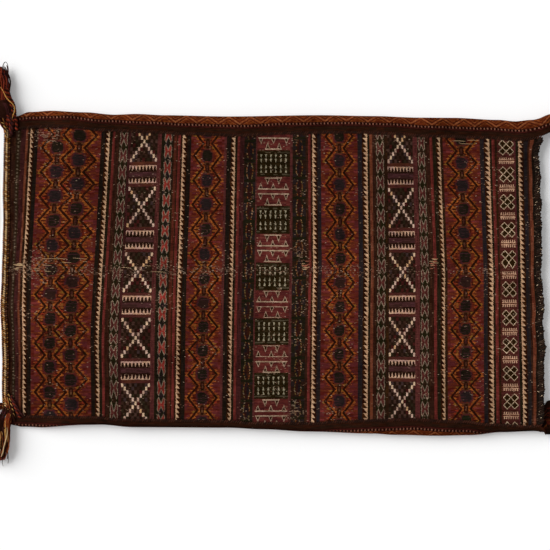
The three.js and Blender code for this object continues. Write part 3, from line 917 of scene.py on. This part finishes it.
def hem_outline(tip, grip, cloth_end, low, high, wall):
    """A hem's section from one grip edge round its nose to the other, then back along the slot."""
    middle = (low + high) / 2
    nose = []
    for t in shares(HEM_NOSE):
        x = cloth_end + (tip - cloth_end) * math.sin(math.pi * t)
        nose.append((x, middle + (high - middle) * math.cos(math.pi * t)))
    slot_end = cloth_end + math.copysign(SLOT_GAP, tip - cloth_end)
    return [(grip, high), *nose, (grip, low), (grip, low + wall), (slot_end, low + wall),
            (slot_end, high - wall), (grip, high - wall)]


def add_hem(name, outline, ends, material, slot, node):
    """The hem's wool body: its section drawn along the end of the bag and closed at both ends."""
    bm = unit_grid(len(outline), HEM_ROWS)
    for vert in bm.verts:
        x, z = outline[round(vert.co.x * len(outline)) % len(outline)]
        vert.co = lie(x, ends[0] + (ends[1] - ends[0]) * vert.co.y, z)
    bmesh.ops.remove_doubles(bm, verts=bm.verts, dist=0.00001)
    bmesh.ops.holes_fill(bm, edges=bm.edges, sides=0)
    bmesh.ops.recalc_face_normals(bm, faces=bm.faces)
    return add_mesh(name, mesh_of(name, bm), [material], slot, node)


FOOT_HEM_WALL = 0.8
foot_outline = hem_outline(foot_low.x + 0.8, foot_high.x, panel_low.x, foot_low.z + 1.2, foot_high.z - 0.3,
                           FOOT_HEM_WALL)
hem_brown = wool_material("hem_brown", "26130b")
add_hem("foot_hem", foot_outline, (foot_low.y, foot_high.y), hem_brown, "gold_yarn", "foot_binding")
chain_wool = [wool_material("chain_gold", "94622f"), wool_material("chain_pale", "d2ad7c"),
              wool_material("chain_rose", "74483a"), wool_material("chain_brown", "4a2712")]
GOLD, PALE_GOLD, ROSE, BROWN = range(4)
foot_middle = (foot_low.z + foot_high.z) / 2
runs = []
for k in range(int((foot_high.y - foot_low.y) / STITCH)):
    y = foot_low.y + (k + 0.5) * STITCH
    for face, bulge in ((foot_high.z, 0.7), (foot_low.z + 2.2, 0)):
        legs = ((-502.0, -499.4, 0.8, hand.choice((GOLD, BROWN, BROWN)), 1.1),
                (-498.9, -495.1, -1.5, hand.choice((PALE_GOLD, PALE_GOLD, PALE_GOLD, GOLD)), 1.35),
                (-493.4, -491.0, 0.6, hand.choice((ROSE, GOLD, GOLD)) if k % 2 else BROWN, 1.1))
        for start, end, slant, wool, half in legs:
            points = []
            for t in (0, 0.33, 0.67, 1):
                x = start + (end - start) * t
                fall = 2.2 * ease(x, -500, FOOT_EDGE) if bulge else 0
                z = face - half * 0.4 + bulge * math.sin(math.pi * t) - fall
                points.append((x, y + slant * 2.2 * (t - 0.5), z))
            runs.append((points, half * hand.uniform(0.9, 1.1), wool))
    nose = []
    for t in shares(5):
        x = foot_low.x + 1.6 - 1.6 * math.sin(math.pi * t)
        nose.append((x, y + 3 * (t - 0.5), foot_middle + 4 * math.cos(math.pi * t)))
    runs.append((nose, 1.5, hand.choice((BROWN, GOLD, BROWN))))
add_yarns("foot_chains", runs, chain_wool, "gold_yarn", "foot_binding")


# Mouth bindings: the open end's two lips, each wrapped over and over with dark goat hair, thick, uneven and
# rubbed. Here and there a stitch of ivory wool holds down a worn place.
WRAP = 3.3
WRAP_MARGIN = 2
SPECKS = 60
hair = [wool_material("hair_black", "1f1712"), wool_material("hair_brown", "2b1c15"),
        wool_material("hair_grey", "3a2c23"), wool_material("mending_ivory", "b9a184", 0.5)]
BLACK_HAIR, BROWN_HAIR, GREY_HAIR, IVORY_WOOL = range(4)
HAIR_MIX = (BLACK_HAIR, BLACK_HAIR, BROWN_HAIR, BROWN_HAIR, GREY_HAIR)
MENDS = (225, 206, 203, 165, 160, 142, 52, 30, -12, -35, -58, -209, -218, -259)
for name, on_front in (("mouth_binding_front", True), ("mouth_binding_back", False)):
    low, high = (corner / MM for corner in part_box(name))
    outline = hem_outline(high.x - 1.8, low.x + 1, panel_high.x, low.z + 0.9, high.z - 0.9, 1)
    add_hem(name + "_hem", outline, (low.y, high.y), hair[BLACK_HAIR], "goat_hair", name)
    middle = (low.z + high.z) / 2
    rise = (high.z - low.z) / 2
    runs = []
    for k in range(int((high.y - low.y - 2 * WRAP_MARGIN) / WRAP)):
        y = low.y + WRAP_MARGIN + (k + 0.5) * WRAP + hand.uniform(-0.6, 0.6)
        half = hand.uniform(1.3, 2.0)
        out = high.x + hand.uniform(-1.2, 1.2) + 3.0 * noise.noise((y / 24, 1, 5))
        grip = low.x + hand.uniform(-1.5, 2.5)
        slant = hand.uniform(1.5, 4.5)
        points = []
        for t in shares(9):
            x = grip + (out - half - grip) * math.sin(math.pi * t) ** 0.6
            z = middle + (rise - 0.3 * half) * math.cos(math.pi * t)
            points.append((x, y + slant * (t - 0.5), z if on_front else max(z, half + 0.1)))
        runs.append((points, half, hand.choice(HAIR_MIX)))
    if on_front:
        specks = [(y, 1.6, 0.75) for y in MENDS]
        specks += [(hand.uniform(-255, 250), 0.7, 0.5) for _ in range(SPECKS)]
        for y, reach, half in specks:
            x = hand.uniform(490, 501)
            aside = hand.uniform(-reach, reach)
            points = [(x - reach, y - aside, high.z), (x, y, high.z + 0.7), (x + reach, y + aside, high.z)]
            runs.append((points, half, IVORY_WOOL))
    add_yarns(name + "_wraps", runs, hair, "goat_hair", name)


# Tassels: one at each foot corner on a short plaited cord, one at the end of each strap. Each is a bunch of
# yarn ends gathered into a neck, wound round as a head, tied and left loose as a skirt.
TASSEL_AXIS = 16.1
FLAT = 0.7
NECK_END = 9
NECK_FLOOR = 2.3
HEAD_LENGTH = 28
HEAD_TURNS = 11
HEAD_YARNS = 60
TIE_PLACE = 28.45
TIE_WIDTH = 4.4
TIE_RADIUS = 13.6
TIE_TURNS = 4
SKIRT_START = 28.6
SKIRT_YARNS = 210
SKIRT_TOP = 31
tassel_wool = [wool_material("tassel_rust", "742c1a"), wool_material("tassel_dark", "2a130c"),
               wool_material("tassel_orange", "93491f"), wool_material("tassel_gold", "a67c45"),
               wool_material("tassel_pale", "c9ad84", 0.5), wool_material("tassel_plum", "3c1c1c"),
               wool_material("tassel_grey", "4a3f38"), wool_material("tassel_honey", "b98443", 0.5)]
RUST, DARK, ORANGE, GOLD_WOOL, PALE_WOOL, PLUM, GREY, HONEY = range(8)
RED_MIX = (RUST, RUST, RUST, RUST, DARK, DARK, PLUM, ORANGE)
ORANGE_MIX = (RUST, RUST, ORANGE, ORANGE, DARK, DARK, GOLD_WOOL)
STRAP_MIX = (RUST, RUST, RUST, DARK, DARK, DARK, ORANGE, ORANGE, GOLD_WOOL, PLUM)
NECK_MIX = (DARK, DARK, RUST, ORANGE, PLUM)
HEAD_MIX = (DARK, DARK, DARK, DARK, PLUM)
CORDED = (DARK, PLUM, GOLD_WOOL)
WISPS = (PALE_WOOL, GREY, HONEY)
# Single yarns of the two foot tassels by wool, half thickness and places: the ends that bind each corner of
# the bag, and pale and grey wisps over the skirt
LEFT_LOOSE = (
    (HONEY, 1.0, ((-512, 354, 23), (-506, 347, 26.5), (-500, 338, 27.5), (-496, 328, 27), (-489, 320, 28),
                  (-484, 316, 27), (-480, 310, 25), (-480, 302, 22), (-484, 294, 20), (-487, 284, 18))),
    (DARK, 2.6, ((-497, 352, 22), (-493, 337, 22), (-489, 327, 21), (-482, 316, 19), (-480, 302, 16),
                 (-481, 286, 15))),
    (DARK, 2.6, ((-499, 344, 25), (-494, 330, 25), (-489, 320, 24), (-485, 308, 21), (-485, 294, 18),
                 (-483, 278, 15))),
    (DARK, 3, ((-492, 304, 22), (-488, 294, 19), (-486, 282, 16), (-486, 270, 14), (-489, 256, 12.5))),
    (DARK, 3, ((-488, 300, 20), (-480, 290, 15), (-478, 280, 14), (-478, 268, 13.5))),
    (PLUM, 2.2, ((-496, 300, 24), (-491, 288, 19), (-489, 276, 15), (-491, 264, 13))),
    (GOLD_WOOL, 1.7, ((-514, 286, 14), (-506, 283, 17), (-500, 276, 16), (-498, 266, 14),
                      (-498, 254, 12.5))),
    (RUST, 2.0, ((-496, 377, 12), (-495, 366, 14), (-494, 352, 16), (-492, 338, 18), (-487, 324, 18))),
    (GREY, 0.8, ((-503, 370, 22), (-504, 382, 19), (-502, 392, 16), (-498, 396, 14), (-494, 389, 13),
                 (-493, 376, 15))),
)
RIGHT_LOOSE = (
    (PALE_WOOL, 0.85, ((-505, -272, 22), (-498, -279, 22.5), (-494, -290, 24), (-493, -298, 25),
                       (-496, -311, 26), (-500, -325, 28), (-501, -334, 27), (-506, -344, 24))),
    (GOLD_WOOL, 1.7, ((-500, -224, 12), (-498, -240, 13), (-495, -254, 14), (-492, -267, 15),
                      (-493, -280, 16))),
    (ORANGE, 1.6, ((-496, -232, 12), (-493, -245, 14), (-490, -257, 15), (-488, -268, 15),
                   (-489, -280, 13))),
    (GOLD_WOOL, 1.6, ((-493, -226, 12), (-490, -238, 13), (-487, -249, 14), (-484, -260, 15),
                      (-482, -270, 13), (-484, -277, 9))),
    (PLUM, 2.2, ((-489, -230, 12), (-485, -241, 13), (-480, -252, 15), (-476, -262, 16), (-471, -271, 14))),
    (DARK, 2.2, ((-486, -234, 12), (-480, -245, 14), (-473, -257, 16), (-465, -268, 16))),
    (DARK, 2.6, ((-491, -244, 13), (-487, -259, 15), (-484, -270, 14), (-482, -279, 10))),
    (DARK, 2.8, ((-498, -250, 13), (-493, -262, 15), (-491, -272, 16), (-495, -280, 19), (-500, -290, 24))),
    (DARK, 3, ((-500, -254, 14), (-507, -266, 17), (-510, -278, 20), (-508, -291, 20), (-506, -304, 18))),
    (DARK, 3, ((-496, -256, 14), (-502, -268, 18), (-504, -280, 21), (-503, -293, 21), (-502, -306, 18))),
    (RUST, 2.5, ((-488, -268, 8), (-491, -277, 8), (-493, -290, 8), (-493, -306, 8), (-494, -320, 7),
                 (-499, -332, 6))),
    (RUST, 2.4, ((-489, -266, 13), (-492, -277, 14), (-493, -290, 15), (-493, -306, 15), (-495, -320, 13),
                 (-501, -334, 10))),
    (ORANGE, 2.2, ((-490, -264, 17), (-493, -277, 20), (-494, -290, 22), (-494, -306, 22), (-496, -321, 19),
                   (-502, -335, 14))),
    (RUST, 2.2, ((-492, -262, 16), (-496, -276, 22), (-497, -290, 25), (-497, -306, 25), (-499, -322, 22),
                 (-505, -337, 16))),
    (ORANGE, 1.8, ((-494, -264, 17), (-499, -277, 22), (-501, -292, 26), (-500, -308, 26), (-502, -324, 23),
                   (-508, -339, 16))),
    (GREY, 0.45, ((-494, -338, 14), (-494, -350, 8), (-496, -358, 3))),
    (GREY, 0.45, ((-503, -345, 14), (-506, -356, 8), (-505, -363, 3))),
)
# Each tassel's name, the start and first heading of its neck, the place of its head and its turn in degrees,
# the spread and number of the neck's yarns, the bend, length and wools of its skirt, and its single yarns
TASSELS = (
    ("left_foot", (-496.85, 263.2, 5.75), (0, 1), (-502.85, 291.2), 6, 5, 14, -4.5, 68, RED_MIX, LEFT_LOOSE),
    ("right_foot", (-503.3, -249.5, 5.75), (-1, 0), (-519.3, -265.5), 190, 5, 14, 13, 58, ORANGE_MIX,
     RIGHT_LOOSE),
    ("left_strap", (565.3, 293.5, 5), (1, 0), (595.3, 293.5), -90, 13, 26, 0, 68, STRAP_MIX, ()),
    ("right_strap", (565.3, -264.9, 2), (1, 0), (595.3, -264.9), -90, 29, 26, 0, 68, STRAP_MIX, ()),
)
FULL_TURN = 2 * math.pi
UP = Vector((0, 0, 1))


def soften(points, rounds=3):
    """A run of points rounded off by cutting its corners."""
    for _ in range(rounds):
        cut = [points[0]]
        for a, b in zip(points, points[1:]):
            cut.append(tuple(0.75 * p + 0.25 * q for p, q in zip(a, b)))
            cut.append(tuple(0.25 * p + 0.75 * q for p, q in zip(a, b)))
        points = cut + [points[-1]]
    return points


def crosswise(heading):
    """Level and square to a heading."""
    return Vector((heading.y, -heading.x, 0)).normalized()


def plied(points, half, wool, rounds=3):
    """A yarn's strands, turned about each other along it: two, tightly, in a dark or gold cord, and four,
    loosely, in a red or orange one."""
    points = soften(points, rounds)
    corded = wool in CORDED
    strands, lay, strand_half = (2, 9, 0.62) if corded else (4, 55, 0.45)
    runs = []
    for k in range(strands):
        strand = []
        gone = 0
        for i, point in enumerate(points):
            heading = Vector(points[min(i + 1, len(points) - 1)]) - Vector(points[max(i - 1, 0)])
            turn = FULL_TURN * (gone / lay + k / strands)
            offset = crosswise(heading) * math.cos(turn) + UP * math.sin(turn)
            strand.append(tuple(Vector(point) + offset * half * 0.55))
            gone += heading.length / 2
        other = hand.choice((PLUM, DARK, RUST) if corded else (RUST, ORANGE, GOLD_WOOL, DARK))
        runs.append((strand, half * strand_half, wool if k == 0 else other))
    return runs


def stand(x, y, z):
    """A point beside the bag, in millimetres, as a Vector in metres."""
    return Vector((x, y, z)) * MM


def head_radius(t):
    """From the neck over the head's bulge to the waist, t from 0 to 1."""
    return 10 + 2.5 * ease(t, 0, 1) + 8.6 * math.sin(math.pi * t) ** 0.8


for name, start, leave, head, turn, neck_spread, neck_yarns, bend, skirt_length, mix, loose in TASSELS:
    turn = math.radians(turn)
    axis = Vector((-math.sin(turn), math.cos(turn), 0))
    aside = Vector((axis.y, -axis.x, 0))
    start = Vector(start)
    end = Vector((*head, TASSEL_AXIS))
    reach = (end - start).length / 2
    knots = (start, start + Vector((*leave, 0)) * reach, end - axis * reach, end)
    node = name + "_tassel"

    def cord(t):
        return (knots[0] * (1 - t) ** 3 + knots[1] * 3 * t * (1 - t) ** 2 + knots[2] * 3 * t * t * (1 - t)
                + knots[3] * t ** 3)

    def round_axis(along, radius, angle):
        return end + axis * along + aside * radius * math.cos(angle) + UP * radius * FLAT * math.sin(angle)

    runs = []
    for k in range(neck_yarns):
        share = (k + 0.5) / neck_yarns * 2 - 1
        phase = hand.uniform(0, FULL_TURN)
        points = []
        for t in shares(12):
            across = crosswise(cord(min(t + 0.02, 1)) - cord(max(t - 0.02, 0)))
            spread = neck_spread + (NECK_END - neck_spread) * ease(t, 0, 1)
            lift = 1.2 + 5.5 * ease(t, 0, 1)
            rise = lift * math.sin(phase + 3.0 * t) * (1 - share * share) ** 0.5
            place = cord(t) + across * spread * share + UP * rise
            points.append((place.x, place.y, max(place.z, NECK_FLOOR)))
        runs.extend(plied(points, hand.uniform(1.6, 2), hand.choice(NECK_MIX), 1))
    for wool, half, points in loose:
        if wool not in WISPS:
            runs.extend(plied(points, half, wool))
    add_yarns(node + "_cord", runs, tassel_wool, "tassel_yarn", node + "_neck", sides=6, place=stand)

    points = []
    for t in shares(HEAD_TURNS * 14 + 1):
        place = round_axis(0.8 + (HEAD_LENGTH - 1.6) * t, head_radius(t) - 1.3, FULL_TURN * HEAD_TURNS * t)
        points.append(tuple(place))
    runs = [(points, 1.55, DARK)]
    for k in range(HEAD_YARNS):
        angle = FULL_TURN * k / HEAD_YARNS + hand.uniform(-0.06, 0.06)
        points = [tuple(round_axis(-0.6, 3, angle))]
        for t in shares(8):
            place = round_axis(0.5 + (HEAD_LENGTH - 1) * t, head_radius(t) - 0.9, angle + 0.5 * t)
            points.append((place.x, place.y, max(place.z, 1.5)))
        runs.append((points, hand.uniform(0.9, 1.3), hand.choice(HEAD_MIX)))
    add_yarns(node + "_winding", runs, tassel_wool, "goat_hair", node + "_head", sides=6, place=stand)

    tie = [tuple(round_axis(TIE_PLACE + TIE_WIDTH * (t - 0.5), TIE_RADIUS, FULL_TURN * TIE_TURNS * t))
           for t in shares(TIE_TURNS * 20 + 1)]
    runs = [(tie, 1.3, DARK)]
    add_yarns(node + "_knot", runs, tassel_wool, "gold_yarn", node + "_tie", sides=6, place=stand)

    runs = []
    for k in range(SKIRT_YARNS):
        angle = hand.uniform(0, FULL_TURN)
        depth = math.sqrt(hand.uniform(0.05, 1))
        length = skirt_length * hand.uniform(0.7, 1.0)
        sway = hand.uniform(-4, 4) + (3 if math.cos(angle) > 0.1 else -3)
        curl = hand.uniform(1.5, 4)
        phase = hand.uniform(0, FULL_TURN)
        half = hand.uniform(0.8, 1.4)
        points = []
        for t in shares(13):
            spread = depth * (10.5 + 8.5 * math.sin(math.pi * t * 0.75) - 2 * t)
            wander = aside * (sway * t + curl * t * math.sin(7 * t + phase) + bend * t * t)
            place = round_axis(SKIRT_START + length * t, spread, angle) + wander
            place.z += curl * 0.6 * t * math.cos(8 * t + phase)
            points.append((place.x, place.y, min(max(place.z, half + 0.1), SKIRT_TOP)))
        runs.append((points, half, PALE_WOOL if k % 41 == 7 else hand.choice(mix)))
    for wool, half, points in loose:
        if wool in WISPS:
            runs.append((soften(points), half, wool))
    add_yarns(node + "_fringe", runs, tassel_wool, "tassel_yarn", node + "_skirt", place=stand)


# Floor, studio light and camera: a flat pale floor under one large soft lamp beyond the foot's left corner,
# with even light from all round, seen from straight above
FLOOR_HALF = 30
VIEW_MIDDLE = (5.6, -3.7)
FRAME_WIDTH = 1025.75
CAMERA_HEIGHT = 3000
SENSOR = 36


def where_seen(start):
    """1 where a thing is looked at, also by way of a gloss, and 0 where it only lights others."""
    sight = start.node("ShaderNodeLightPath", {}, {}, "Is Camera Ray")
    return sight.most(sight.out("Is Glossy Ray")).most(sight.out("Is Transmission Ray"))


def grey(level):
    return level, level, level, 1


bm = bmesh.new()
bmesh.ops.create_grid(bm, x_segments=1, y_segments=1, size=FLOOR_HALF)
floor = put("floor", mesh_of("floor", bm))
floor_material, floor_shader, start = new_material("pale_floor", 1.0, 0.0)
floor_shader.inputs["Base Color"].default_value = grey(0.88)
floor_shader.inputs["Emission Strength"].default_value = 1.0
cover(grey(0), (where_seen(start), grey(0.13))).feed(floor_shader, "Emission Color")
floor.data.materials.append(floor_material)

world = bpy.data.worlds.new("studio")
world.use_nodes = True
ambient = cover(grey(0.345), (where_seen(Reckon(world.node_tree)), grey(1)))
ambient.feed(world.node_tree.nodes["Background"], "Color")
bpy.context.scene.world = world

lamp = bpy.data.lights.new("soft_lamp", "SUN")
lamp.energy = 3.4
lamp.angle = math.radians(52)
put("soft_lamp", lamp).rotation_euler = Vector((0.71, -0.35, -0.62)).to_track_quat("-Z", "Y").to_euler()

camera = bpy.data.cameras.new("camera")
camera.sensor_width = SENSOR
camera.lens = SENSOR * CAMERA_HEIGHT / FRAME_WIDTH
viewer = put("camera", camera)
viewer.location = Vector((*VIEW_MIDDLE, BAG_HEIGHT + CAMERA_HEIGHT)) * MM
bpy.context.scene.camera = viewer
bpy.context.scene.view_settings.view_transform = "Standard"
